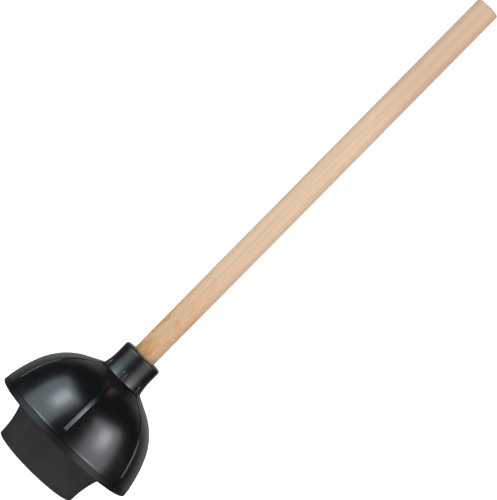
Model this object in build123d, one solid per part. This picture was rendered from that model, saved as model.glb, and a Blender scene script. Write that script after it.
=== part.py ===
from build123d import *
import os
from math import atan2, cos, degrees, radians, sin, sqrt, tan

# Toilet plunger: a wooden stick screwed into a rubber force cup with a fold-out flange.
# Millimetres. Origin: centre of the flange's bottom rim. +Z runs up the stick.

# --- Stick -------------------------------------------------------------------------------
stick_diameter = 23.8125         # 15/16 in dowel
shank_length = 457.2             # 18 in of full-width stick
tenon_length = 25.4              # 1 in turned down for the thread
end_round = 1.2                  # broken edge at the free end
neck_diameter = 23.0             # eased length of shank that sits in the collar's counterbore

# --- Screw thread, 3/4 in with 5 turns to the inch -----------------------------------------
thread_diameter = 19.05
thread_pitch = 5.08
thread_depth = 2.0
thread_turns = 3.75
ridge_root_width = 3.0
ridge_crest_width = 1.5
ridge_sink = 0.4                 # how far the ridge is sunk into the core
ridge_lead = 0.2                 # plain core below the ridge's lower end
pilot_length = 5.0               # plain lead-in below the thread
pilot_diameter = 13.8
pilot_chamfer = 1.5
pilot_gap = 0.1                  # between the pilot and the threaded core
thread_gap = 0.4                 # clearance all round the thread
groove_lead = 0.15               # turns by which the groove runs on past each end of the ridge
body_gap = 0.3                   # clearance between pieces that move apart

# --- Collar, the socket that takes the stick -----------------------------------------------
collar_top = 142.4
collar_radius = 20.6
collar_flare_start = 129.0       # the collar widens from this height down
collar_flare_end = 114.5
collar_base_radius = 22.6
collar_edge_round = 2.4
mouth_depth = 4.3                # counterbore for the full-width stick
cut_margin = 1.0                 # how far the counterbore's cutter stands past the top
seam_turn = 37                   # turns the round faces' seam away from the end of the thread
socket_floor = 111.0
boss_bottom = 106.5
boss_edge_round = 2.0
gusset_height = 9.0              # small webs in line with the bell's ribs
gusset_reach = 2.0
gusset_width = 2.6
gusset_root = 1.0                # how far each gusset is sunk into the collar

# --- Bell ---------------------------------------------------------------------------------
rim_height = 37.6                # rim stands this far above the flange's bottom edge
rim_radius = 77.5
rim_angle = 6.2                  # slope of the wall at the rim, degrees off vertical
skirt_arc = 128.7                # large arc of the lower wall
shoulder_arc = 63.5              # smaller arc of the shoulder
blend_angle = 23.0               # where the skirt arc hands over to the shoulder arc
crown_angle = 63.0               # where the shoulder arc hands over to the straight crown
bell_wall = 4.0
rib_count = 6
rib_azimuth = -93.3              # first rib, measured from +X
rib_width = 3.2
rib_height = 1.0
rib_root = 1.0                   # how far each rib is sunk into the wall
rib_foot = 53.0                  # height of the ribs' lower ends
rib_head_radius = 26.1           # the ribs fade out here, near the collar

# --- Flange and the folding web that joins it to the bell -----------------------------------
flange_radius = 45.35            # at the bottom edge
flange_arc = 90.0                # arc of the flared outline
flange_wall = 3.0
flange_height = 37.0
web_thickness = 2.2
web_bend = (57.8, 45.6)          # under side of the web where it turns outwards (radius, height)
web_end = (74.3, 50.2)           # under side of the web where it enters the bell's wall
upper_bend_shift = 1.2           # the upper side turns outwards this much nearer the axis
under_bow = (-1.0, 1.2)          # bow of the web's rise, under side (radius, height)
upper_bow = (-1.2, 1.4)          # the same on the upper side


def polar(centre, radius, angle):
    """Point on a circle in the XZ profile plane, angle in degrees above horizontal."""
    return (centre[0] + radius * cos(radians(angle)), centre[1] + radius * sin(radians(angle)))


def arc(centre, radius, start, end):
    """Arc of a profile from one angle to another."""
    middle = polar(centre, radius, (start + end) / 2)
    return ThreePointArc(polar(centre, radius, start), middle, polar(centre, radius, end))


def profile(edges):
    """Closed face in the XZ plane from edges drawn as (radius, height)."""
    return Plane.XZ * make_face(edges)


def turned(edges):
    """Solid of revolution about Z."""
    return revolve(profile(edges), Axis.Z, 360)


# Centres of the bell's two arcs, which meet with a common tangent.
skirt_centre = (
    rim_radius - skirt_arc * cos(radians(rim_angle)),
    rim_height - skirt_arc * sin(radians(rim_angle)),
)
shoulder_centre = polar(skirt_centre, skirt_arc - shoulder_arc, blend_angle)


def crown_height(radius, lift=0.0):
    """Height of the straight crown at a radius, on a surface lifted off the outer wall."""
    start = polar(shoulder_centre, shoulder_arc + lift, crown_angle)
    return start[1] + (start[0] - radius) / tan(radians(crown_angle))


def wall_angle(height, lift):
    """Angle on the skirt arc at a height, on a surface lifted off the outer wall."""
    rise = height - skirt_centre[1]
    return degrees(atan2(rise, sqrt((skirt_arc + lift) ** 2 - rise ** 2)))


def wall_line(lift, foot_angle, head):
    """Edges of a wall surface from its foot on the skirt up to a head point on the crown."""
    crown_start = polar(shoulder_centre, shoulder_arc + lift, crown_angle)
    return [
        arc(skirt_centre, skirt_arc + lift, foot_angle, blend_angle),
        arc(shoulder_centre, shoulder_arc + lift, blend_angle, crown_angle),
        Line(crown_start, head),
    ]


def screw_ridge(grow, bottom, turns):
    """Helical ridge with a trapezoid section, grown by a clearance on every side."""
    root = thread_diameter / 2 - thread_depth
    crest = thread_diameter / 2 + grow
    inner = root - ridge_sink
    slope = (ridge_root_width - ridge_crest_width) / 2 / thread_depth
    half_crest = ridge_crest_width / 2 + grow * (sqrt(1 + slope ** 2) - slope)
    half_inner = half_crest + slope * (crest - inner)
    section = Plane.XZ * make_face(Polyline(
        (inner, bottom - half_inner),
        (crest, bottom - half_crest),
        (crest, bottom + half_crest),
        (inner, bottom + half_inner),
        close=True,
    ))
    path = Pos(0, 0, bottom) * Helix(thread_pitch, thread_pitch * turns, root)
    return sweep(section, path, is_frenet=True)


# Heights along the stick.
shoulder_height = collar_top - mouth_depth + body_gap
neck_top = collar_top + body_gap
stick_top = shoulder_height + shank_length
tenon_bottom = shoulder_height - tenon_length
thread_bottom = tenon_bottom + pilot_length
ridge_start = thread_bottom + ridge_root_width / 2 + ridge_lead


def make_handle():
    """Shank and threaded tenon, turned from one dowel."""
    shank = Pos(0, 0, neck_top) * Cylinder(
        stick_diameter / 2, stick_top - neck_top, align=(Align.CENTER, Align.CENTER, Align.MIN))
    shank = fillet(shank.edges().group_by(Axis.Z)[-1], end_round)
    neck = Pos(0, 0, shoulder_height) * Cylinder(
        neck_diameter / 2, neck_top - shoulder_height, align=(Align.CENTER, Align.CENTER, Align.MIN))
    core = Pos(0, 0, thread_bottom) * Cylinder(
        thread_diameter / 2 - thread_depth,
        shoulder_height - thread_bottom,
        align=(Align.CENTER, Align.CENTER, Align.MIN),
    )
    return shank + neck + core + screw_ridge(0, ridge_start, thread_turns)


def make_handle_tip():
    """Plain pilot below the thread."""
    tip = Pos(0, 0, tenon_bottom) * Cylinder(
        pilot_diameter / 2, pilot_length - pilot_gap, align=(Align.CENTER, Align.CENTER, Align.MIN))
    return chamfer(tip.edges().group_by(Axis.Z)[0], pilot_chamfer)


def make_collar():
    """Socket boss with a threaded blind hole and six gussets at its base."""
    flare = ThreePointArc(
        (collar_radius, collar_flare_start),
        (collar_radius + (collar_base_radius - collar_radius) / 4, (collar_flare_start + collar_flare_end) / 2),
        (collar_base_radius, collar_flare_end),
    )
    boss = turned([
        Line((0, collar_top), (collar_radius, collar_top)),
        Line((collar_radius, collar_top), (collar_radius, collar_flare_start)),
        flare,
        Line((collar_base_radius, collar_flare_end), (collar_base_radius, boss_bottom)),
        Line((collar_base_radius, boss_bottom), (0, boss_bottom)),
        Line((0, boss_bottom), (0, collar_top)),
    ])
    boss = fillet(boss.edges().filter_by(GeomType.CIRCLE).group_by(Axis.Z)[-1], collar_edge_round)
    boss = fillet(boss.edges().filter_by(GeomType.CIRCLE).group_by(Axis.Z)[0], boss_edge_round)
    hole = Pos(0, 0, socket_floor) * Cylinder(
        thread_diameter / 2 - thread_depth + thread_gap,
        collar_top - socket_floor,
        align=(Align.CENTER, Align.CENTER, Align.MIN),
    )
    groove = Pos(0, 0, -groove_lead * thread_pitch) * Rot(0, 0, -groove_lead * 360) * screw_ridge(
        thread_gap, ridge_start, thread_turns + 2 * groove_lead)
    mouth = Pos(0, 0, collar_top - mouth_depth) * Cylinder(
        stick_diameter / 2 + body_gap,
        mouth_depth + cut_margin,
        align=(Align.CENTER, Align.CENTER, Align.MIN),
    )
    boss = Rot(0, 0, seam_turn) * (boss - hole) - groove - mouth
    gusset_foot = crown_height(collar_base_radius + body_gap) + body_gap
    gusset = profile(Polyline(
        (collar_radius - gusset_root, gusset_foot + gusset_height),
        (collar_radius - gusset_root, gusset_foot),
        (collar_base_radius + gusset_reach, gusset_foot),
        close=True,
    ))
    gusset = extrude(gusset, gusset_width / 2, both=True)
    for index in range(rib_count):
        boss += Rot(0, 0, rib_azimuth + index * 360 / rib_count) * gusset
    return boss


def make_rib():
    """One raised rib that follows the bell's wall, in the XZ plane."""
    foot = wall_angle(rib_foot, rib_height)
    head = (rib_head_radius, crown_height(rib_head_radius))
    sunk_head = (rib_head_radius, crown_height(rib_head_radius, -rib_root))
    outer = wall_line(rib_height, foot, head)
    inner = wall_line(-rib_root, foot, sunk_head)
    foot_edge = Line(
        polar(skirt_centre, skirt_arc - rib_root, foot), polar(skirt_centre, skirt_arc + rib_height, foot))
    return extrude(profile(outer + inner + [foot_edge, Line(sunk_head, head)]), rib_width / 2, both=True)


def make_bell():
    """Dome and rim of the cup, with a hole at the crown for the collar."""
    hole_radius = collar_base_radius + body_gap
    head = (hole_radius, crown_height(hole_radius))
    inner_head = (hole_radius, crown_height(hole_radius, -bell_wall))
    inner_foot_angle = wall_angle(rim_height, -bell_wall)
    inner_foot = polar(skirt_centre, skirt_arc - bell_wall, inner_foot_angle)
    wall = turned(
        wall_line(0, rim_angle, head)
        + wall_line(-bell_wall, inner_foot_angle, inner_head)
        + [Line(head, inner_head), Line(inner_foot, (rim_radius, rim_height))]
    )
    rib = make_rib()
    for index in range(rib_count):
        wall += Rot(0, 0, rib_azimuth + index * 360 / rib_count) * rib
    return wall


def flange_radius_at(height, lift=0.0):
    """Radius of the flange's outer surface at a height, or of one lifted off it."""
    return flange_radius + flange_arc - sqrt((flange_arc - lift) ** 2 - height ** 2)


def make_flange():
    """Flared skirt that seals in the drain."""
    centre = (flange_radius + flange_arc, 0)
    outer_head = (flange_radius_at(flange_height), flange_height)
    inner_head = (flange_radius_at(flange_height, -flange_wall), flange_height)
    outer_angle = 180 - degrees(atan2(flange_height, centre[0] - outer_head[0]))
    inner_angle = 180 - degrees(atan2(flange_height, centre[0] - inner_head[0]))
    return turned([
        arc(centre, flange_arc, 180, outer_angle),
        Line(outer_head, inner_head),
        arc(centre, flange_arc + flange_wall, inner_angle, 180),
        Line((flange_radius - flange_wall, 0), (flange_radius, 0)),
    ])


def bowed(first, second, bow):
    """Point half way between two, moved aside by a bow."""
    return ((first[0] + second[0]) / 2 + bow[0], (first[1] + second[1]) / 2 + bow[1])


def make_flange_web(bell):
    """Thin membrane from the top of the flange out to the inside of the bell."""
    base = flange_height + body_gap
    outer_foot = (flange_radius_at(base), base)
    inner_foot = (flange_radius_at(base, -flange_wall), base)
    upper_bend = (web_bend[0] - upper_bend_shift, web_bend[1] + web_thickness)
    upper_end = (web_end[0], web_end[1] + web_thickness)
    under_middle = bowed(outer_foot, web_bend, under_bow)
    upper_middle = bowed(inner_foot, upper_bend, upper_bow)
    web = turned([
        ThreePointArc(outer_foot, under_middle, web_bend),
        Line(web_bend, web_end),
        Line(web_end, upper_end),
        Line(upper_end, upper_bend),
        ThreePointArc(upper_bend, upper_middle, inner_foot),
        Line(inner_foot, outer_foot),
    ])
    return web - bell


os.makedirs("parts", exist_ok=True)
bell = make_bell()
nodes = {
    "handle": make_handle(),
    "handle_tip": make_handle_tip(),
    "collar": make_collar(),
    "bell": bell,
    "flange_web": make_flange_web(bell),
    "flange": make_flange(),
}
for name, shape in nodes.items():
    export_step(shape, f"parts/{name}.step")
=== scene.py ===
import math

import bpy
from bpy.props import FloatProperty, FloatVectorProperty, IntProperty, PointerProperty
from mathutils import Matrix, Vector


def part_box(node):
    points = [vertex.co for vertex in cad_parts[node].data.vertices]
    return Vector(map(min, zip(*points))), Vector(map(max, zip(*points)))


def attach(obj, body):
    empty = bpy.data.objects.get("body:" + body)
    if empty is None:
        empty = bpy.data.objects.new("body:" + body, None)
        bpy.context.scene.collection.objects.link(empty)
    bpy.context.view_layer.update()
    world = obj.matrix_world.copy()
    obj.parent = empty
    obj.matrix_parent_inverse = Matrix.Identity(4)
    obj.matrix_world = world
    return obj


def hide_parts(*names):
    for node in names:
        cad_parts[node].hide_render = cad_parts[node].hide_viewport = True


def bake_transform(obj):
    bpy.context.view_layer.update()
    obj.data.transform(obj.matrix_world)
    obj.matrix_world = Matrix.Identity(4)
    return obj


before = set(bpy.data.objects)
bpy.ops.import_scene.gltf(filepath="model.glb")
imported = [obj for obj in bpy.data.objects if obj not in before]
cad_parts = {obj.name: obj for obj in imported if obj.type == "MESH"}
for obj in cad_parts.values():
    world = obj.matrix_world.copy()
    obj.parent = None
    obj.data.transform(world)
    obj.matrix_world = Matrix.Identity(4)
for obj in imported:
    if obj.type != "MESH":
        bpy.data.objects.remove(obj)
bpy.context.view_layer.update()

bl_info = {
    "name": "Toilet plunger",
    "version": (1, 0, 0),
    "blender": (4, 5, 0),
    "location": "3D View > Sidebar > Plunger",
    "description": "Builds a rubber force cup with a fold-in flange on a turned wooden stick",
    "category": "Object",
}

# Everything below is in metres, in the frame's own axes: +Z runs up the stick.
MM = 0.001

COLLAR_LOW, COLLAR_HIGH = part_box("collar")
BELL_LOW, BELL_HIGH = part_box("bell")
FLANGE_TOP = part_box("flange")[1].z
STICK_LOW, STICK_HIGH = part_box("handle")
TIP_LOW, TIP_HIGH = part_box("handle_tip")


# ---------------------------------------------------------------------------------------
# Sizes and colours that a user would change
# ---------------------------------------------------------------------------------------

def length(name, description, default):
    """A size in metres."""
    return FloatProperty(
        name=name, description=description, default=default, unit="LENGTH", precision=5)


def angle(name, description, default):
    """An angle, given in degrees."""
    return FloatProperty(
        name=name, description=description, default=math.radians(default), unit="ROTATION")


def colour(name, description, default):
    """A linear RGB colour."""
    return FloatVectorProperty(
        name=name, description=description, default=default,
        subtype="COLOR", size=3, min=0.0, max=1.0)


def fraction(name, description, default):
    """A value from 0 to 1."""
    return FloatProperty(
        name=name, description=description, default=default, min=0.0, max=1.0)


class CupSizes(bpy.types.PropertyGroup):
    """Sizes of the rubber cup: collar, bell and rim."""

    rim_radius: length("Rim radius", "Outside radius at the bell's bottom edge", BELL_HIGH.x)
    rim_height: length("Rim height", "Height of the bell's bottom edge", BELL_LOW.z)
    rim_angle: angle("Rim angle", "Slope of the wall at the rim, off vertical", 6.2)
    skirt_arc: length("Skirt arc", "Radius of the lower wall's outline", 128.7 * MM)
    shoulder_arc: length("Shoulder arc", "Radius of the shoulder's outline", 63.5 * MM)
    blend_angle: angle("Blend angle", "Where the skirt hands over to the shoulder", 23.0)
    crown_angle: angle("Crown angle", "Where the shoulder hands over to the crown", 63.0)
    wall: length("Wall", "Thickness of the bell's wall", 4.0 * MM)
    parting_height: length("Parting line", "Height of the fine bead above the rim", 45.0 * MM)
    parting_proud: length("Bead height", "How far the bead stands out", 0.30 * MM)
    collar_radius: length("Collar radius", "Radius of the collar's straight part", 20.6 * MM)
    collar_base: length("Collar base", "Radius where the collar meets the crown", 22.6 * MM)
    collar_flare: length("Flare height", "Height at which the collar starts to widen", 129.0 * MM)
    collar_foot: length("Collar foot", "Height at which the collar meets its fillet", 114.0 * MM)
    collar_round: length("Edge round", "Round of the collar's top edge", 2.2 * MM)
    collar_fillet: length("Fillet", "Reach of the fillet between collar and crown", 2.4 * MM)
    mouth_gap: length("Mouth gap", "Clearance round the stick in the collar's mouth", 0.35 * MM)
    socket_floor: length("Socket floor", "Thickness of the rubber under the socket", 4.5 * MM)
    socket_depth: length("Socket depth", "From the thread's lower end to the shoulder", 20.4 * MM)


class RibSizes(bpy.types.PropertyGroup):
    """Sizes of the raised ribs and of the gussets above them."""

    count: IntProperty(name="Ribs", description="Number of ribs round the bell", default=6, min=1)
    azimuth: angle("First rib", "Direction of the first rib, from +X", -93.3)
    width: length("Rib width", "Width of a rib at its foot", 3.2 * MM)
    height: length("Rib height", "How far a rib stands out at its foot", 0.64 * MM)
    head_height: length("Head height", "How far a rib stands out beside the collar", 0.30 * MM)
    foot: length("Rib foot", "Height of a rib's lower end", 52.0 * MM)
    gusset_width: length("Gusset width", "Width of a gusset", 4.4 * MM)
    gusset_reach: length("Gusset reach", "How far a gusset stands out at its foot", 1.7 * MM)
    gusset_top: length("Gusset top", "Height at which a gusset runs out", 123.5 * MM)


class FlangeSizes(bpy.types.PropertyGroup):
    """Sizes of the drain flange and its folding web."""

    radius: length("Flange radius", "Outside radius at the bottom edge", 45.35 * MM)
    arc: length("Flare arc", "Radius of the flared outline", 90.0 * MM)
    wall: length("Wall", "Thickness of the flange", 3.0 * MM)
    web: length("Web", "Thickness of the folding web", 2.2 * MM)
    edge: length("Edge round", "Round of the bottom edge's corners", 0.45 * MM)


class StickSizes(bpy.types.PropertyGroup):
    """Sizes of the stick and its thread."""

    pitch: length("Pitch", "Rise of the thread in one turn", 5.08 * MM)
    depth: length("Depth", "Depth of the thread", 2.0 * MM)
    crest: length("Crest", "Width of the thread's crest", 1.5 * MM)
    root: length("Root", "Width of the thread's ridge at its root", 3.0 * MM)
    major: length("Thread radius", "Outside radius of the thread", 9.525 * MM)
    gap: length("Thread gap", "Clearance round the thread in the rubber", 0.4 * MM)
    turns: FloatProperty(name="Turns", description="Length of the thread in turns", default=3.75)
    neck: length("Neck radius", "Radius of the eased neck inside the collar", 11.5 * MM)
    neck_proud: length("Neck top", "How far the eased neck stands above the collar", 0.3 * MM)
    end_round: length("End round", "Broken edge at the free end", 1.2 * MM)


class Finish(bpy.types.PropertyGroup):
    """Colours and gloss of the rubber and the wood."""

    rubber: colour("Rubber", "Moulded black rubber", (0.0026, 0.0027, 0.0031))
    rubber_bloom: colour("Bloom", "Pale bloom on parts of the rubber", (0.0052, 0.0054, 0.0058))
    flange: colour("Flange", "Matt rubber of the flange", (0.0165, 0.0165, 0.0175))
    flange_worn: colour("Flange, pale", "Pale patches of the flange", (0.0225, 0.0225, 0.0232))
    wood_pale: colour("Wood, pale", "Pale early wood", (0.513, 0.358, 0.244))
    wood_warm: colour("Wood, warm", "Warmer late wood", (0.444, 0.295, 0.190))
    wood_flame: colour("Wood, amber", "Amber wood near the collar", (0.400, 0.178, 0.037))
    # A darker wood colour blended in towards the stick's top end.
    wood_top: colour("Wood, handled", "Darker wood at the held end", (0.410, 0.254, 0.165))
    bell_roughness: fraction("Bell roughness", "Roughness of the polished bell", 0.25)
    band_roughness: fraction("Band roughness", "Roughness of the band below the bead", 0.40)
    flange_roughness: fraction("Flange roughness", "Roughness of the matt rubber", 0.72)


class StageSizes(bpy.types.PropertyGroup):
    """Camera and light."""

    distance: length("Camera distance", "From the middle of the object to the camera", 1.8)
    elevation: angle("Camera height", "Elevation of the camera above the horizon", 0.0)
    roll: angle("Camera roll", "Tilt of the stick to the right in the view", 44.63)
    aim: length("Aim height", "Height on the stick that the camera looks at", 0.28050)
    side: length("Side step", "How far the camera looks past the stick, to its left", 0.40 * MM)
    field: length("Field", "Size of the view's longer side at the object", 0.4628)
    floor: colour("Floor", "Pale floor", (0.93, 0.93, 0.93))
    floor_radius: length("Floor radius", "Size of the floor", 12.0)
    key_power: FloatProperty(
        name="Soft box power", description="Power of a square metre of soft box, in watts",
        default=5.9)
    box_height: length("Soft box height", "Height of each soft box", 1.44)
    core_turn: FloatProperty(
        name="Core direction", description="Direction of each core, in degrees off the front",
        default=48.0)
    core_power: FloatProperty(
        name="Core power", description="Power of the bright core of each soft box, in watts",
        default=2.65)
    top_power: FloatProperty(
        name="Top power", description="Power of the light from above, in watts", default=16.0)
    fill: FloatProperty(name="Fill", description="Brightness of the surrounding room", default=0.30)


SETTINGS = {
    "cup": CupSizes, "ribs": RibSizes, "flange": FlangeSizes,
    "stick": StickSizes, "finish": Finish, "stage": StageSizes,
}


def settings(group):
    """The scene's values of one property group."""
    return getattr(bpy.context.scene, "plunger_" + group)


# ---------------------------------------------------------------------------------------
# Shader maths
# ---------------------------------------------------------------------------------------

class Wire:
    """A shader socket that can be used in expressions: each operator adds its Math node."""

    def __init__(self, tree, socket):
        self.tree = tree
        self.socket = socket

    def maths(self, operation, *terms):
        return self.tree.node("ShaderNodeMath", {"operation": operation}, dict(enumerate(terms)))

    def __add__(self, other):
        return self.maths("ADD", self, other)

    def __radd__(self, other):
        return self.maths("ADD", other, self)

    def __sub__(self, other):
        return self.maths("SUBTRACT", self, other)

    def __rsub__(self, other):
        return self.maths("SUBTRACT", other, self)

    def __mul__(self, other):
        return self.maths("MULTIPLY", self, other)

    def __rmul__(self, other):
        return self.maths("MULTIPLY", other, self)

    def __pow__(self, other):
        return self.maths("POWER", self, other)

    def step(self, low, high):
        """0 below low, 1 above high, and a smooth rise between them."""
        span = {"From Min": low, "From Max": high, "To Min": 0.0, "To Max": 1.0, "Value": self}
        return self.tree.node("ShaderNodeMapRange", {"interpolation_type": "SMOOTHSTEP"}, span)


class Tree:
    """Builds a node tree. Every node comes from the one method below."""

    def __init__(self, node_tree):
        self.nodes = node_tree.nodes
        self.links = node_tree.links
        self.nodes.clear()

    def node(self, kind, choices=None, sockets=None, output=0):
        """Adds a node, sets its choices first, then the values or links of its sockets."""
        made = self.nodes.new(kind)
        for key, value in (choices or {}).items():
            setattr(made, key, value)
        for key, value in (sockets or {}).items():
            socket = made.inputs[key] if isinstance(key, int) else self.open_socket(made, key)
            if isinstance(value, Wire):
                self.links.new(value.socket, socket)
            else:
                socket.default_value = value
        if not made.outputs:
            return None
        if isinstance(output, int):
            shown = [socket for socket in made.outputs if socket.enabled]
            return Wire(self, shown[output])
        return Wire(self, made.outputs[output])

    @staticmethod
    def open_socket(made, name):
        """The enabled input of that name: a Mix node has one for each data type."""
        return next(socket for socket in made.inputs if socket.name == name and socket.enabled)

    def place(self):
        """Where a point of the surface is, in metres."""
        return self.node("ShaderNodeTexCoord", output="Object")

    def stretched(self, place, scale):
        """The place, scaled for a texture."""
        return self.node("ShaderNodeMapping", None, {"Vector": place, "Scale": scale})

    def noise(self, place, scale, detail=2.0, roughness=0.5, warp=0.0):
        sockets = {
            "Vector": place, "Scale": scale, "Detail": detail, "Roughness": roughness,
            "Distortion": warp,
        }
        return self.node("ShaderNodeTexNoise", {"noise_dimensions": "3D"}, sockets, "Fac")

    def blend(self, factor, first, second):
        """Mixes two colours."""
        first = first if isinstance(first, Wire) else (*first, 1.0)
        second = second if isinstance(second, Wire) else (*second, 1.0)
        return self.node(
            "ShaderNodeMix", {"data_type": "RGBA"}, {"Factor": factor, "A": first, "B": second})

    def part(self, place, axis):
        """One coordinate of a place."""
        return self.node("ShaderNodeSeparateXYZ", None, {"Vector": place}, axis)

    def bump(self, height, distance, strength=1.0, under=None):
        sockets = {"Strength": strength, "Distance": distance, "Height": height}
        if under is not None:
            sockets["Normal"] = under
        return self.node("ShaderNodeBump", None, sockets)


def surface(name, sockets_of):
    """A material whose Principled shader gets the sockets that sockets_of(tree) returns."""
    material = bpy.data.materials.new(name)
    material.use_nodes = True
    tree = Tree(material.node_tree)
    shader = tree.node("ShaderNodeBsdfPrincipled", None, sockets_of(tree))
    tree.node("ShaderNodeOutputMaterial", None, {"Surface": shader})
    return material


# ---------------------------------------------------------------------------------------
# Materials
# ---------------------------------------------------------------------------------------

def moulded_rubber(name, base_roughness, sheen):
    """Black rubber from a smooth mould: satin gloss, faint flow and bloom, fine handling marks."""
    finish = settings("finish")

    def sockets_of(tree):
        place = tree.place()
        bloom = tree.noise(place, 34.0, 4.0, 0.55, 0.4)
        cloud = tree.noise(place, 9.0, 2.0)
        smear = tree.noise(tree.stretched(place, (1.0, 1.0, 0.25)), 160.0, 3.0, 0.6, 0.3)
        grain = tree.noise(place, 2600.0, 2.0, 0.6)
        waves = tree.noise(place, 70.0, 2.0)
        dull = (bloom * 0.6 + cloud * 0.4).step(0.42, 0.66)
        collar = tree.part(place, "Z").step(0.100, 0.125)
        roughness = base_roughness + collar * 0.13 + (dull - 0.4) * 0.05 + (smear - 0.5) * 0.05
        fine = tree.bump(grain, 0.00002, 0.5)
        return {
            "Base Color": tree.blend(dull, tuple(finish.rubber), tuple(finish.rubber_bloom)),
            "Roughness": roughness,
            "Normal": tree.bump(waves, 0.00008, 0.5, fine),
            "IOR": 1.52,
            "Specular IOR Level": sheen,
        }

    return surface(name, sockets_of)


def matt_rubber():
    """Matt rubber from the blasted side of the mould, with faint chalky patches."""
    finish = settings("finish")

    def sockets_of(tree):
        place = tree.place()
        patches = tree.noise(place, 42.0, 4.0, 0.6, 0.5)
        scuffs = tree.noise(tree.stretched(place, (1.0, 1.0, 0.18)), 210.0, 3.0, 0.65)
        grain = tree.noise(place, 1900.0, 3.0, 0.7)
        pale = (patches * 0.7 + scuffs * 0.3).step(0.36, 0.68)
        return {
            "Base Color": tree.blend(pale, tuple(finish.flange), tuple(finish.flange_worn)),
            "Roughness": finish.flange_roughness + (patches - 0.5) * 0.10,
            "Normal": tree.bump(grain, 0.00006, 0.6),
            "IOR": 1.45,
        }

    return surface("rubber_matt", sockets_of)


def turned_wood():
    """Pale close-grained hardwood: growth rings, long fibres, short flecks and an amber foot."""
    finish = settings("finish")

    def sockets_of(tree):
        place = tree.place()
        drift = tree.noise(tree.stretched(place, (1.0, 1.0, 0.12)), 30.0, 2.0, 0.5)
        across = tree.part(place, "X")
        depth = tree.part(place, "Y")
        height = tree.part(place, "Z")
        # Growth rings round a pith that lies well outside the stick, one every 2.4 mm.
        pith = (0.045, 0.060)
        wander = 0.0045
        radians_a_metre = 2600.0
        rings_at = ((across - pith[0]) ** 2.0 + (depth - pith[1]) ** 2.0) ** 0.5 + drift * wander
        phase = rings_at * radians_a_metre
        rings = phase.maths("SINE", phase) * 0.5 + 0.5
        fibres = tree.noise(tree.stretched(place, (1.0, 1.0, 0.02)), 1500.0, 4.0, 0.65)
        streaks = tree.noise(tree.stretched(place, (1.0, 1.0, 0.035)), 330.0, 4.0, 0.6)
        flecks = tree.noise(
            tree.stretched(place, (1.0, 1.0, 0.09)), 1100.0, 1.0, 0.4).step(0.66, 0.76)
        clouds = tree.noise(tree.stretched(place, (1.0, 1.0, 0.35)), 48.0, 3.0, 0.55)
        figure = tree.noise(
            tree.stretched(place, (1.0, 1.0, 0.6)), 75.0, 2.0, 0.5, 0.6).step(0.46, 0.64)
        low = 1.0 - height.step(0.145, 0.290)
        high = height.step(0.410, 0.520)
        tone = rings * 0.28 + streaks * 0.42 + fibres * 0.18 + clouds * 0.30 - 0.12
        base = tree.blend(
            tone.step(0.18, 0.86), tuple(finish.wood_pale), tuple(finish.wood_warm))
        amber = tree.blend(low * 0.40 + low * figure * 0.46, base, tuple(finish.wood_flame))
        # Blends the stick towards a darker wood colour from 0.41 m up to its top end.
        top_end = tree.blend(high * 0.6, amber, tuple(finish.wood_top))
        fleck_brown = (0.27, 0.165, 0.095)
        flecked = tree.blend(flecks * 0.16, top_end, fleck_brown)
        relief = fibres * 0.6 + streaks * 0.4
        return {
            "Base Color": flecked,
            "Roughness": 0.50 + (fibres - 0.5) * 0.12 + (clouds - 0.5) * 0.08,
            "Normal": tree.bump(relief, 0.00010, 0.55),
            "IOR": 1.46,
        }

    return surface("wood_turned", sockets_of)


def pale_floor():
    """A seamless pale floor that glows white, like one that is lit evenly from all round."""
    stage = settings("stage")

    def sockets_of(tree):
        mottle = tree.noise(tree.place(), 3.0, 2.0)
        shade = tuple(value * 0.985 for value in stage.floor)
        return {
            "Base Color": tree.blend(mottle, shade, tuple(stage.floor)),
            "Roughness": 0.9,
            "Specular IOR Level": 0.0,
            "Emission Color": (1.0, 1.0, 1.0, 1.0),
            "Emission Strength": 1.0,
        }

    return surface("floor_pale", sockets_of)


# ---------------------------------------------------------------------------------------
# Turned meshes
# ---------------------------------------------------------------------------------------

class Ring:
    """One ring of a turned mesh: its radius and height, and how far each feature acts on it."""

    def __init__(self, radius, height, finish=0, **features):
        self.radius = radius
        self.height = height
        self.finish = finish
        self.features = features


def on_arc(centre, radius, start, end, steps):
    """Points (radius, height) along an arc, angles in radians above horizontal."""
    turns = [start + (end - start) * index / steps for index in range(steps + 1)]
    return [(centre[0] + radius * math.cos(t), centre[1] + radius * math.sin(t)) for t in turns]


def on_line(first, second, steps):
    """Points along a straight stretch, both ends among them."""
    return [
        tuple(a + (b - a) * index / steps for a, b in zip(first, second))
        for index in range(steps + 1)
    ]


def on_curve(first, handle, second, steps):
    """Points along a quadratic curve that leaves and arrives along its handle."""
    points = []
    for index in range(steps + 1):
        t = index / steps
        weights = ((1 - t) ** 2, 2 * t * (1 - t), t ** 2)
        points.append(tuple(
            weights[0] * a + weights[1] * h + weights[2] * b
            for a, h, b in zip(first, handle, second)))
    return points


def smooth(value, low, high):
    """0 below low, 1 above high, smooth between."""
    t = min(1.0, max(0.0, (value - low) / (high - low)))
    return t * t * (3 - 2 * t)


def joined(*stretches):
    """One list of points from several, without the doubled ends."""
    points = []
    for stretch in stretches:
        for point in stretch:
            if not points or math.dist(points[-1], point) > 1e-7:
                points.append(point)
    return points


def outward(rings):
    """Unit normals of a profile that runs clockwise when seen with +radius to the right."""
    normals = []
    for index in range(len(rings)):
        before = rings[max(0, index - 1)]
        after = rings[min(len(rings) - 1, index + 1)]
        along = (after.radius - before.radius, after.height - before.height)
        size = math.hypot(*along) or 1.0
        normals.append((-along[1] / size, along[0] / size))
    return normals


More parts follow.
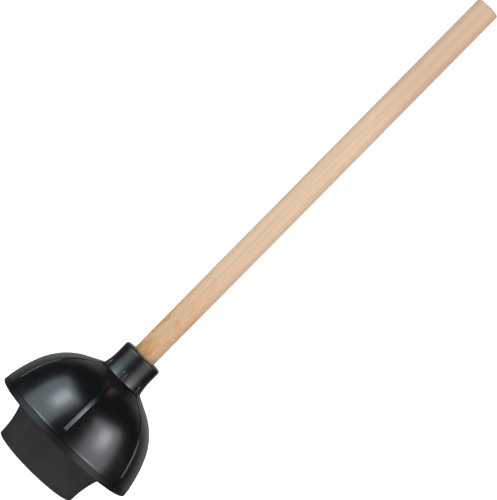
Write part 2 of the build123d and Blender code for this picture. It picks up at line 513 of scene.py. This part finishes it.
def turned(name, rings, turns_at, shape):
    """A closed mesh turned about Z.

    turns_at(radius) gives a ring's angles, and shape(ring, normal, turn) the radius and height of
    each of its points. The first and last rings are points on the axis.
    """
    vertices = []
    faces = []
    finishes = []
    normals = outward(rings)
    starts = []
    for ring, normal in zip(rings, normals):
        starts.append(len(vertices))
        if ring.radius < 1e-9:
            vertices.append((0.0, 0.0, ring.height))
            continue
        for turn in turns_at(ring.radius):
            radius, height = shape(ring, normal, turn)
            vertices.append((radius * math.cos(turn), radius * math.sin(turn), height))
    count = len(turns_at(1.0))
    for index in range(len(rings) - 1):
        a, b = starts[index], starts[index + 1]
        a_point, b_point = rings[index].radius < 1e-9, rings[index + 1].radius < 1e-9
        for step in range(count):
            after = (step + 1) % count
            if a_point:
                faces.append((a, b + after, b + step))
            elif b_point:
                faces.append((a + step, a + after, b))
            else:
                faces.append((a + step, a + after, b + after, b + step))
            finishes.append(rings[index + 1].finish)
    return finished_mesh(name, vertices, faces, finishes)


def turned_loop(name, rings, turns_at):
    """A closed mesh from a profile that is itself a closed loop, away from the axis."""
    turns = turns_at(1.0)
    count = len(turns)
    vertices = [
        (ring.radius * math.cos(turn), ring.radius * math.sin(turn), ring.height)
        for ring in rings for turn in turns
    ]
    faces = []
    for index in range(len(rings)):
        a, b = index * count, (index + 1) % len(rings) * count
        for step in range(count):
            after = (step + 1) % count
            faces.append((a + step, a + after, b + after, b + step))
    return finished_mesh(name, vertices, faces, [ring.finish for ring in rings for _ in turns])


def finished_mesh(name, vertices, faces, finishes, sharp=38.0):
    """A smooth-shaded object with its faces turned outwards and its real edges kept crisp."""
    mesh = bpy.data.meshes.new(name)
    mesh.from_pydata(vertices, [], faces)
    mesh.polygons.foreach_set("material_index", finishes)
    mesh.validate()
    mesh.update()
    volume = sum(
        mesh.vertices[p.vertices[0]].co.dot(
            mesh.vertices[p.vertices[1]].co.cross(mesh.vertices[p.vertices[2]].co))
        for p in mesh.polygons
    )
    if volume < 0:
        mesh.flip_normals()
    mesh.shade_smooth()
    mesh.set_sharp_from_angle(angle=math.radians(sharp))
    piece = bpy.data.objects.new(name, mesh)
    bpy.context.scene.collection.objects.link(piece)
    return piece


def even_turns(count):
    """A turns_at function with evenly spaced angles."""
    turns = [2 * math.pi * index / count for index in range(count)]
    return lambda radius: turns


def dressed(piece, body, materials, nodes):
    """Gives a piece its materials, its body and the CAD nodes that it stands for."""
    for material in materials:
        piece.data.materials.append(material)
    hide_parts(*nodes)
    if body:
        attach(piece, body)
    return piece


# ---------------------------------------------------------------------------------------
# The cup
# ---------------------------------------------------------------------------------------

# Places across a rib, in shares of its half width, where the mesh has its lengthwise edges.
RIB_STATIONS = (0.0, 0.25, 0.45, 0.6, 0.72, 0.82, 0.91, 1.0, 1.12, 1.25, 1.4, 1.7)
PLAIN_STEPS = 16
RIB_LEAST_RADIUS = 13.0 * MM     # nearer the axis than this, the edges over a rib close in
RIB_RISE = (30 * MM, 62 * MM)    # radii between which a rib grows to its full height
RIB_FOOT_SPAN = (-0.5 * MM, 1.3 * MM)    # heights about a rib's foot where it runs out
GUSSET_FADE = (1.0 * MM, 4.6 * MM)       # past the collar's base, where a gusset runs out
THREAD_LEAD = 0.3 * MM           # from the pilot's top to the thread's lower end


def cup_turns(radius):
    """A ring's angles: close together over each rib and even between the ribs."""
    ribs = settings("ribs")
    half = ribs.width / 2 / max(radius, RIB_LEAST_RADIUS)
    stations = [-s * half for s in reversed(RIB_STATIONS[1:])] + [s * half for s in RIB_STATIONS]
    pitch = 2 * math.pi / ribs.count
    gap = pitch - 2 * stations[-1]
    turns = []
    for index in range(ribs.count):
        middle = ribs.azimuth + index * pitch
        turns += [middle + station for station in stations]
        turns += [
            middle + stations[-1] + gap * step / PLAIN_STEPS for step in range(1, PLAIN_STEPS)]
    return turns


def ridge_section(across, half_width):
    """Height, 0 to 1, of a ridge with even flanks and a rounded crest."""
    crest = 0.2
    share = min(abs(across) / half_width, 1.0)
    foot = math.hypot(1.0, crest)
    return (foot - math.hypot(share, crest)) / (foot - crest)


def gusset_section(across, half_width):
    """Height, 0 to 1, of a flat-topped web with soft shoulders."""
    return 1 - smooth(abs(across) / half_width, 0.50, 1.0)


def nearest_rib(turn):
    """Angle from a point's direction to the nearest rib's."""
    ribs = settings("ribs")
    pitch = 2 * math.pi / ribs.count
    return (turn - ribs.azimuth + pitch / 2) % pitch - pitch / 2


def thread_share(height, turn, widen):
    """How far into the helical ridge a point is, 0 at the root and 1 at the crest."""
    stick = settings("stick")
    thread_start = TIP_HIGH.z + stick.root / 2 + THREAD_LEAD
    along = height - thread_start - stick.pitch * turn / (2 * math.pi)
    turns_up = round(along / stick.pitch)
    turns_up = max(0, min(turns_up, math.floor(stick.turns - turn / (2 * math.pi) + 0.25)))
    away = abs(along - turns_up * stick.pitch)
    crest, root = stick.crest / 2 + widen, stick.root / 2 + widen
    return 1 - min(1.0, max(0.0, (away - crest) / (root - crest)))


def cup_shape(ring, normal, turn):
    """Radius and height of a point of the cup, with its ribs, gussets and socket thread."""
    ribs = settings("ribs")
    radius, height = ring.radius, ring.height
    across = nearest_rib(turn) * max(radius, RIB_LEAST_RADIUS)
    rib = ring.features.get("rib", 0.0)
    if rib:
        rise = rib * ridge_section(across, ribs.width / 2)
        radius += normal[0] * rise
        height += normal[1] * rise
    gusset = ring.features.get("gusset", 0.0)
    if gusset:
        radius += gusset * gusset_section(across, ribs.gusset_width / 2)
    groove = ring.features.get("groove", 0.0)
    if groove:
        radius += groove * thread_share(ring.height, turn % (2 * math.pi), settings("stick").gap)
    return radius, height


def bell_arcs(cup):
    """Centres of the bell's two arcs, which meet with a common tangent."""
    skirt = (
        cup.rim_radius - cup.skirt_arc * math.cos(cup.rim_angle),
        cup.rim_height - cup.skirt_arc * math.sin(cup.rim_angle),
    )
    reach = cup.skirt_arc - cup.shoulder_arc
    shoulder = (
        skirt[0] + reach * math.cos(cup.blend_angle),
        skirt[1] + reach * math.sin(cup.blend_angle),
    )
    return skirt, shoulder


def crown_point(cup, radius, lift=0.0):
    """Point of the straight crown at a radius, on a surface lifted off the outer wall."""
    shoulder = bell_arcs(cup)[1]
    start = on_arc(shoulder, cup.shoulder_arc + lift, cup.crown_angle, cup.crown_angle, 1)[0]
    return radius, start[1] + (start[0] - radius) / math.tan(cup.crown_angle)


def collar_points(cup):
    """Outside of the collar, from its mouth down to the crown."""
    mouth = STICK_HIGH.x + cup.mouth_gap
    lip_round = 0.8 * MM
    rounded = on_arc(
        (cup.collar_radius - cup.collar_round, COLLAR_HIGH.z - cup.collar_round),
        cup.collar_round, math.pi / 2, 0.0, 7)
    lip = on_arc((mouth + lip_round, COLLAR_HIGH.z - lip_round), lip_round, math.pi, math.pi / 2, 4)
    straight = on_line(
        (cup.collar_radius, rounded[-1][1]), (cup.collar_radius, cup.collar_flare), 5)
    slope = 2 * (cup.collar_base - cup.collar_radius) / (cup.collar_flare - cup.collar_foot)
    flare = on_curve(
        straight[-1],
        (cup.collar_radius, (cup.collar_flare + cup.collar_foot) / 2),
        (cup.collar_base, cup.collar_foot), 12)
    drop = cup.collar_foot - crown_point(cup, cup.collar_base)[1]
    corner = crown_point(cup, cup.collar_base + slope * drop)
    fillet = on_curve(flare[-1], corner, crown_point(cup, corner[0] + cup.collar_fillet), 8)
    return joined(lip, rounded, straight, flare, fillet)


def bell_points(cup, start_radius):
    """Outside of the bell, from the crown down to the rim."""
    skirt, shoulder = bell_arcs(cup)
    crown_foot = on_arc(shoulder, cup.shoulder_arc, cup.crown_angle, cup.crown_angle, 1)[0]
    crown = on_line(crown_point(cup, start_radius), crown_foot, 8)
    upper = on_arc(shoulder, cup.shoulder_arc, cup.crown_angle, cup.blend_angle, 30)
    lower = on_arc(skirt, cup.skirt_arc, cup.blend_angle, cup.rim_angle, 64)
    return joined(crown, upper, lower)


def rim_points(cup):
    """The rim's rounded bottom edge and the inside of the bell up to the boss."""
    skirt, shoulder = bell_arcs(cup)
    edge = 0.7 * MM
    outer = on_arc((cup.rim_radius - edge, cup.rim_height + edge), edge, 0.0, -math.pi / 2, 5)
    inner_radius = cup.rim_radius - cup.wall
    inner = on_arc((inner_radius + edge, cup.rim_height + edge), edge, -math.pi / 2, -math.pi, 5)
    wall_foot = math.asin((cup.rim_height + 2 * edge - skirt[1]) / (cup.skirt_arc - cup.wall))
    lower = on_arc(skirt, cup.skirt_arc - cup.wall, wall_foot, cup.blend_angle, 20)
    upper = on_arc(shoulder, cup.shoulder_arc - cup.wall, cup.blend_angle, cup.crown_angle, 18)
    boss_radius, boss_edge = cup.collar_base, 2.0 * MM
    fillet_out, fillet_down = 3.0 * MM, 1.2 * MM
    under = crown_point(cup, boss_radius + fillet_out, -cup.wall)
    corner = crown_point(cup, boss_radius, -cup.wall)
    fillet = on_curve(under, corner, (boss_radius, corner[1] - fillet_down), 6)
    boss_round = on_arc(
        (boss_radius - boss_edge, COLLAR_LOW.z + boss_edge), boss_edge, 0.0, -math.pi / 2, 6)
    return joined(outer, inner, lower, upper, on_line(upper[-1], under, 4), fillet, boss_round)


def socket_rings(cup):
    """The threaded socket, from the middle of its floor up to the mouth."""
    stick = settings("stick")
    floor = COLLAR_LOW.z + cup.socket_floor
    bore = stick.major - stick.depth + stick.gap
    seat_height = STICK_LOW.z + cup.socket_depth
    mouth = STICK_HIGH.x + cup.mouth_gap
    corner, thread_lip, seat_corner, mouth_lip = 0.5 * MM, 0.1 * MM, 0.2 * MM, 0.9 * MM
    rings = [Ring(0.0, floor), Ring(bore * 0.5, floor), Ring(bore - corner, floor)]
    rings += [Ring(r, z) for r, z in on_line((bore, floor + corner), (bore, TIP_HIGH.z), 6)]
    grooved = on_line((bore, TIP_HIGH.z + THREAD_LEAD), (bore, seat_height - thread_lip), 56)
    rings += [Ring(r, z, groove=stick.depth) for r, z in grooved]
    seat = on_line((stick.major + stick.gap + thread_lip, seat_height), (mouth, seat_height), 2)
    wall = on_line((mouth, seat_height + seat_corner), (mouth, COLLAR_HIGH.z - mouth_lip), 4)
    return rings + [Ring(r, z) for r, z in joined(seat, wall)]


POLISHED, MATT, SATIN = 0, 1, 2


def cup_rings(cup, ribs):
    """The whole cup as one closed profile: socket, collar, bell, rim, inside wall and boss."""
    rings = socket_rings(cup)
    for ring in rings:
        ring.finish = MATT
    collar = collar_points(cup)
    crown = crown_point(cup, ribs.width)[1]
    for radius, height in collar:
        climb = ribs.gusset_top - cup.collar_foot
        gusset = ribs.gusset_reach * smooth(ribs.gusset_top - height, 0.0, climb)
        fade = 1 - smooth(radius, *(cup.collar_base + reach for reach in GUSSET_FADE))
        rings.append(
            Ring(radius, height, POLISHED, gusset=gusset * fade if height < crown else 0.0))
    bead_width = 1.0 * MM
    for radius, height in bell_points(cup, collar[-1][0])[1:]:
        rise = ribs.head_height
        rise += (ribs.height - ribs.head_height) * smooth(radius, *RIB_RISE)
        foot = smooth(height, *(ribs.foot + reach for reach in RIB_FOOT_SPAN))
        bead = math.exp(-((height - cup.parting_height) / bead_width) ** 2) * cup.parting_proud
        finish = SATIN if height < cup.parting_height - 2 * bead_width else POLISHED
        rings.append(Ring(radius + bead, height, finish, rib=rise * foot))
    # The bell's outline stops where the rim's rounded edge takes over.
    rim_start = 0.8 * MM
    while rings[-1].height < cup.rim_height + rim_start:
        rings.pop()
    satin_up, satin_in = 0.2 * MM, 1.5 * MM
    edge = cup.rim_height + satin_up
    band = cup.rim_radius - satin_in
    rings += [Ring(r, z, SATIN if r > band and z > edge else MATT) for r, z in rim_points(cup)]
    rings += [Ring(cup.collar_base * 0.5, COLLAR_LOW.z, MATT), Ring(0.0, COLLAR_LOW.z, MATT)]
    return rings


class PLUNGER_OT_cup(bpy.types.Operator):
    """Makes the collar and the ribbed bell as the one moulding that they are"""

    bl_idname = "plunger.make_cup"
    bl_label = "Force cup"

    def execute(self, context):
        cup, ribs = settings("cup"), settings("ribs")
        piece = turned("force_cup", cup_rings(cup, ribs), cup_turns, cup_shape)
        finish = settings("finish")
        polished = moulded_rubber("rubber_polished", finish.bell_roughness, 0.75)
        satin = moulded_rubber("rubber_satin", finish.band_roughness, 0.45)
        dressed(piece, None, [polished, matt_rubber(), satin], ["bell", "collar"])
        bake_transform(piece)
        return {"FINISHED"}


# ---------------------------------------------------------------------------------------
# The flange and its web
# ---------------------------------------------------------------------------------------

def flange_side(sizes, lift, top, steps):
    """One side of the flange's wall, from its bottom edge up."""
    bottom = sizes.edge
    heights = [bottom + (top - bottom) * index / steps for index in range(steps + 1)]
    return [
        (sizes.radius + sizes.arc - math.sqrt((sizes.arc + lift) ** 2 - height ** 2), height)
        for height in heights
    ]


class PLUNGER_OT_flange(bpy.types.Operator):
    """Makes the drain flange and the thin web that it folds on"""

    bl_idname = "plunger.make_flange"
    bl_label = "Drain flange"

    def execute(self, context):
        sizes, cup = settings("flange"), settings("cup")
        top = FLANGE_TOP
        outer = flange_side(sizes, 0.0, top, 24)
        inner = flange_side(sizes, sizes.wall, top, 24)
        inner_wall = cup.rim_radius - cup.wall - 1.0 * MM
        # How far out and up the web's bend, its end and the handles of its curves are.
        bend_out, bend_up, bend_shift = 4.4 * MM, 8.6 * MM, 1.2 * MM
        end_out, end_up = 1.6 * MM, 13.0 * MM
        under_out, under_up = 1.6 * MM, 7.4 * MM
        over_out, over_up = 1.3 * MM, 8.6 * MM
        under_bend = (outer[-1][0] + bend_out, top + bend_up)
        under_end = (inner_wall + end_out, top + end_up)
        over_end = (under_end[0], under_end[1] + sizes.web)
        over_bend = (under_bend[0] - bend_shift, under_bend[1] + sizes.web)
        under = joined(
            on_curve(outer[-1], (outer[-1][0] + under_out, top + under_up), under_bend, 10),
            on_line(under_bend, under_end, 8),
        )
        over = joined(
            on_line(over_end, over_bend, 8),
            on_curve(over_bend, (inner[-1][0] + over_out, top + over_up), inner[-1], 10),
        )
        middle = sizes.radius - sizes.wall / 2
        half = sizes.wall / 2 - sizes.edge
        edge_out = on_arc((middle + half, sizes.edge), sizes.edge, -math.pi / 2, 0.0, 4)
        edge_in = on_arc((middle - half, sizes.edge), sizes.edge, -math.pi, -math.pi / 2, 4)
        outline = joined(
            edge_in, on_line(edge_in[-1], edge_out[0], 2), edge_out, outer, under, over,
            list(reversed(inner)))
        rings = [Ring(radius, height) for radius, height in outline[:-1]]
        piece = turned_loop("drain_flange", rings, even_turns(144))
        dressed(piece, None, [matt_rubber()], ["flange", "flange_web"])
        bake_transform(piece)
        return {"FINISHED"}


# ---------------------------------------------------------------------------------------
# The stick
# ---------------------------------------------------------------------------------------

def stick_shape(ring, normal, turn):
    """Radius and height of a point of the stick, with its helical thread."""
    ridge = ring.features.get("ridge", 0.0)
    radius = ring.radius
    if ridge:
        radius += ridge * thread_share(ring.height, turn % (2 * math.pi), 0.0)
    return radius, ring.height


class PLUNGER_OT_stick(bpy.types.Operator):
    """Makes the turned wooden stick with its thread, and the plain pilot below it"""

    bl_idname = "plunger.make_stick"
    bl_label = "Stick"

    def execute(self, context):
        sizes = settings("stick")
        wood = turned_wood()
        radius = STICK_HIGH.x
        root = sizes.major - sizes.depth
        shoulder = STICK_LOW.z + settings("cup").socket_depth
        hair = 0.05 * MM                 # keeps two rings at a corner apart
        neck_in, neck_up = 0.6 * MM, 0.7 * MM
        threaded = on_line((root, STICK_LOW.z + hair), (root, shoulder), 62)
        neck_top = COLLAR_HIGH.z + sizes.neck_proud
        neck = on_line((sizes.neck, shoulder + neck_up), (sizes.neck, neck_top), 3)
        shank_foot = neck_top + radius - sizes.neck
        shank = on_line((radius, shank_foot), (radius, STICK_HIGH.z - sizes.end_round), 60)
        rounded = on_arc(
            (radius - sizes.end_round, STICK_HIGH.z - sizes.end_round),
            sizes.end_round, 0.0, math.pi / 2, 6)
        rings = [Ring(r, STICK_LOW.z) for r in (0.0, root * 0.6, root - hair)]
        rings += [Ring(r, z, ridge=sizes.depth) for r, z in threaded]
        seat_radii = (sizes.major + 0.2 * MM, sizes.neck - neck_in)
        rings += [Ring(r, shoulder + hair) for r in seat_radii]
        rings += [Ring(r, z) for r, z in joined(neck, shank, rounded)]
        rings += [Ring(radius * share, STICK_HIGH.z) for share in (0.6, 0.3, 0.0)]
        stick = turned("stick", rings, even_turns(120), stick_shape)
        dressed(stick, "handle", [wood], ["handle"])

        tip_radius = TIP_HIGH.x
        chamfer, tip_edge = 1.5 * MM, 0.2 * MM
        tip_line = joined(
            on_line((tip_radius - chamfer, TIP_LOW.z), (tip_radius, TIP_LOW.z + chamfer), 3),
            on_line((tip_radius, TIP_LOW.z + chamfer), (tip_radius, TIP_HIGH.z - tip_edge), 4),
            [(tip_radius - tip_edge, TIP_HIGH.z)],
        )
        rings = [Ring(0.0, TIP_LOW.z), Ring(tip_radius * 0.4, TIP_LOW.z)]
        rings += [Ring(r, z) for r, z in tip_line]
        rings += [Ring(tip_radius * 0.4, TIP_HIGH.z), Ring(0.0, TIP_HIGH.z)]
        tip = turned("stick_tip", rings, even_turns(72), stick_shape)
        dressed(tip, "handle_tip", [wood], ["handle_tip"])
        return {"FINISHED"}


# ---------------------------------------------------------------------------------------
# Stage
# ---------------------------------------------------------------------------------------

def make_camera(stage):
    """A level lens near the middle of the plunger, rolled so that the stick leans to the right."""
    away = Vector((0.0, -math.cos(stage.elevation), math.sin(stage.elevation)))
    right = Vector((1.0, 0.0, 0.0))
    aim = Vector((0.0, 0.0, stage.aim)) - right * stage.side
    up = away.cross(right)
    rolled_right = right * math.cos(stage.roll) + up * math.sin(stage.roll)
    rolled_up = up * math.cos(stage.roll) - right * math.sin(stage.roll)
    data = bpy.data.cameras.new("camera")
    data.sensor_width = 36.0
    data.lens = data.sensor_width * stage.distance / stage.field
    data.clip_start, data.clip_end = 0.1, 60.0
    camera = bpy.data.objects.new("camera", data)
    axes = Matrix((rolled_right, rolled_up, away)).transposed().to_4x4()
    camera.matrix_world = Matrix.Translation(aim + away * stage.distance) @ axes
    bpy.context.scene.collection.objects.link(camera)
    bpy.context.scene.camera = camera


def make_soft_box(name, azimuth, height, distance, size, power, tint):
    """A soft light that faces the bell, azimuth degrees off the front and height above level."""
    target = Vector((0.0, 0.0, 0.09))    # a little above the middle of the bell
    turn = math.radians(azimuth - 90.0)
    rise = math.radians(height)
    level = math.cos(rise)
    direction = Vector((math.cos(turn) * level, math.sin(turn) * level, math.sin(rise)))
    data = bpy.data.lights.new(name, "AREA")
    data.shape = "RECTANGLE"
    data.size, data.size_y = size
    data.energy = power
    data.color = tint
    light = bpy.data.objects.new(name, data)
    light.location = target + direction * distance
    light.rotation_euler = direction.to_track_quat("Z", "Y").to_euler()
    bpy.context.scene.collection.objects.link(light)
    return light


def make_room(stage):
    """White to the eye, and a dim room, brighter behind and above, to everything that it lights."""
    world = bpy.data.worlds.new("room")
    bpy.context.scene.world = world
    world.use_nodes = True
    tree = Tree(world.node_tree)
    seen_strength, least = 1.03, 0.02
    seen = tree.node(
        "ShaderNodeBackground", None, {"Color": (1, 1, 1, 1), "Strength": seen_strength})
    direction = tree.node("ShaderNodeTexCoord", output="Generated")
    behind = tree.part(direction, "Y").step(0.48, 0.92)
    upper = tree.part(direction, "Z").step(-0.35, 0.25)
    strength = (0.035 + behind * 1.2) * upper * stage.fill + least
    lit = tree.node("ShaderNodeBackground", None, {"Color": (1, 1, 1, 1), "Strength": strength})
    looked_at = tree.node("ShaderNodeLightPath", output="Is Camera Ray")
    both = tree.node("ShaderNodeMixShader", None, {0: looked_at, 1: lit, 2: seen})
    tree.node("ShaderNodeOutputWorld", None, {"Surface": both})


# Each soft box: its side, its direction in degrees off the front, its width and its tint.
SOFT_BOXES = (
    ("left", -56.0, 1.30, (0.80, 0.95, 1.0)),
    ("right", 48.5, 1.18, (0.95, 0.945, 1.0)),
)


class PLUNGER_OT_stage(bpy.types.Operator):
    """Makes the pale floor, the soft light and the camera"""

    bl_idname = "plunger.make_stage"
    bl_label = "Stage"

    def execute(self, context):
        stage = settings("stage")
        corners = 64
        turns = [2 * math.pi * index / corners for index in range(corners)]
        ring = [
            (stage.floor_radius * math.cos(t), stage.floor_radius * math.sin(t), 0.0)
            for t in turns]
        mesh = bpy.data.meshes.new("floor")
        mesh.from_pydata([(0.0, 0.0, 0.0)] + ring, [], [
            (0, index + 1, (index + 1) % corners + 1) for index in range(corners)])
        mesh.materials.append(pale_floor())
        floor = bpy.data.objects.new("floor", mesh)
        floor_drop = 0.05 * MM           # keeps the floor just under the rubber
        floor.location.z = -floor_drop
        floor.visible_glossy = False
        context.scene.collection.objects.link(floor)
        make_camera(stage)
        make_room(stage)
        for side, azimuth, width, tint in SOFT_BOXES:
            size = (width, stage.box_height)
            power = stage.key_power * width * stage.box_height
            make_soft_box(
                "soft_box_" + side, azimuth, height=21.0, distance=1.3,
                size=size, power=power, tint=tint)
            make_soft_box(
                "soft_core_" + side, math.copysign(stage.core_turn, azimuth), height=30.5,
                distance=1.25, size=(0.40, 0.40), power=stage.core_power, tint=tint)
        # Light from above for the stick's end, left out of the reflections in the crown.
        overhead = make_soft_box(
            "soft_top", 0.0, height=90.0, distance=2.0,
            size=(1.0, 1.0), power=stage.top_power, tint=(1.0, 0.98, 0.95))
        overhead.visible_glossy = False
        context.scene.view_settings.view_transform = "Standard"
        return {"FINISHED"}


# ---------------------------------------------------------------------------------------
# Panel and registration
# ---------------------------------------------------------------------------------------

OPERATORS = (PLUNGER_OT_stage, PLUNGER_OT_cup, PLUNGER_OT_flange, PLUNGER_OT_stick)


class PLUNGER_PT_panel(bpy.types.Panel):
    """Lists the pieces and their sizes"""

    bl_idname = "PLUNGER_PT_panel"
    bl_label = "Plunger"
    bl_space_type = "VIEW_3D"
    bl_region_type = "UI"
    bl_category = "Plunger"

    def draw(self, context):
        for operator in OPERATORS:
            self.layout.operator(operator.bl_idname)
        for group in SETTINGS:
            box = self.layout.box()
            box.label(text=group.capitalize())
            values = settings(group)
            for name in values.__annotations__:
                box.prop(values, name)


def register():
    for name, group in SETTINGS.items():
        bpy.utils.register_class(group)
        setattr(bpy.types.Scene, "plunger_" + name, PointerProperty(type=group))
    for item in (*OPERATORS, PLUNGER_PT_panel):
        bpy.utils.register_class(item)


def unregister():
    for item in reversed((*OPERATORS, PLUNGER_PT_panel)):
        bpy.utils.unregister_class(item)
    for name, group in SETTINGS.items():
        delattr(bpy.types.Scene, "plunger_" + name)
        bpy.utils.unregister_class(group)


def main():
    """Builds the pieces in order."""
    register()
    bpy.ops.plunger.make_stage()
    bpy.ops.plunger.make_cup()
    bpy.ops.plunger.make_flange()
    bpy.ops.plunger.make_stick()


if __name__ == "__main__":
    main()
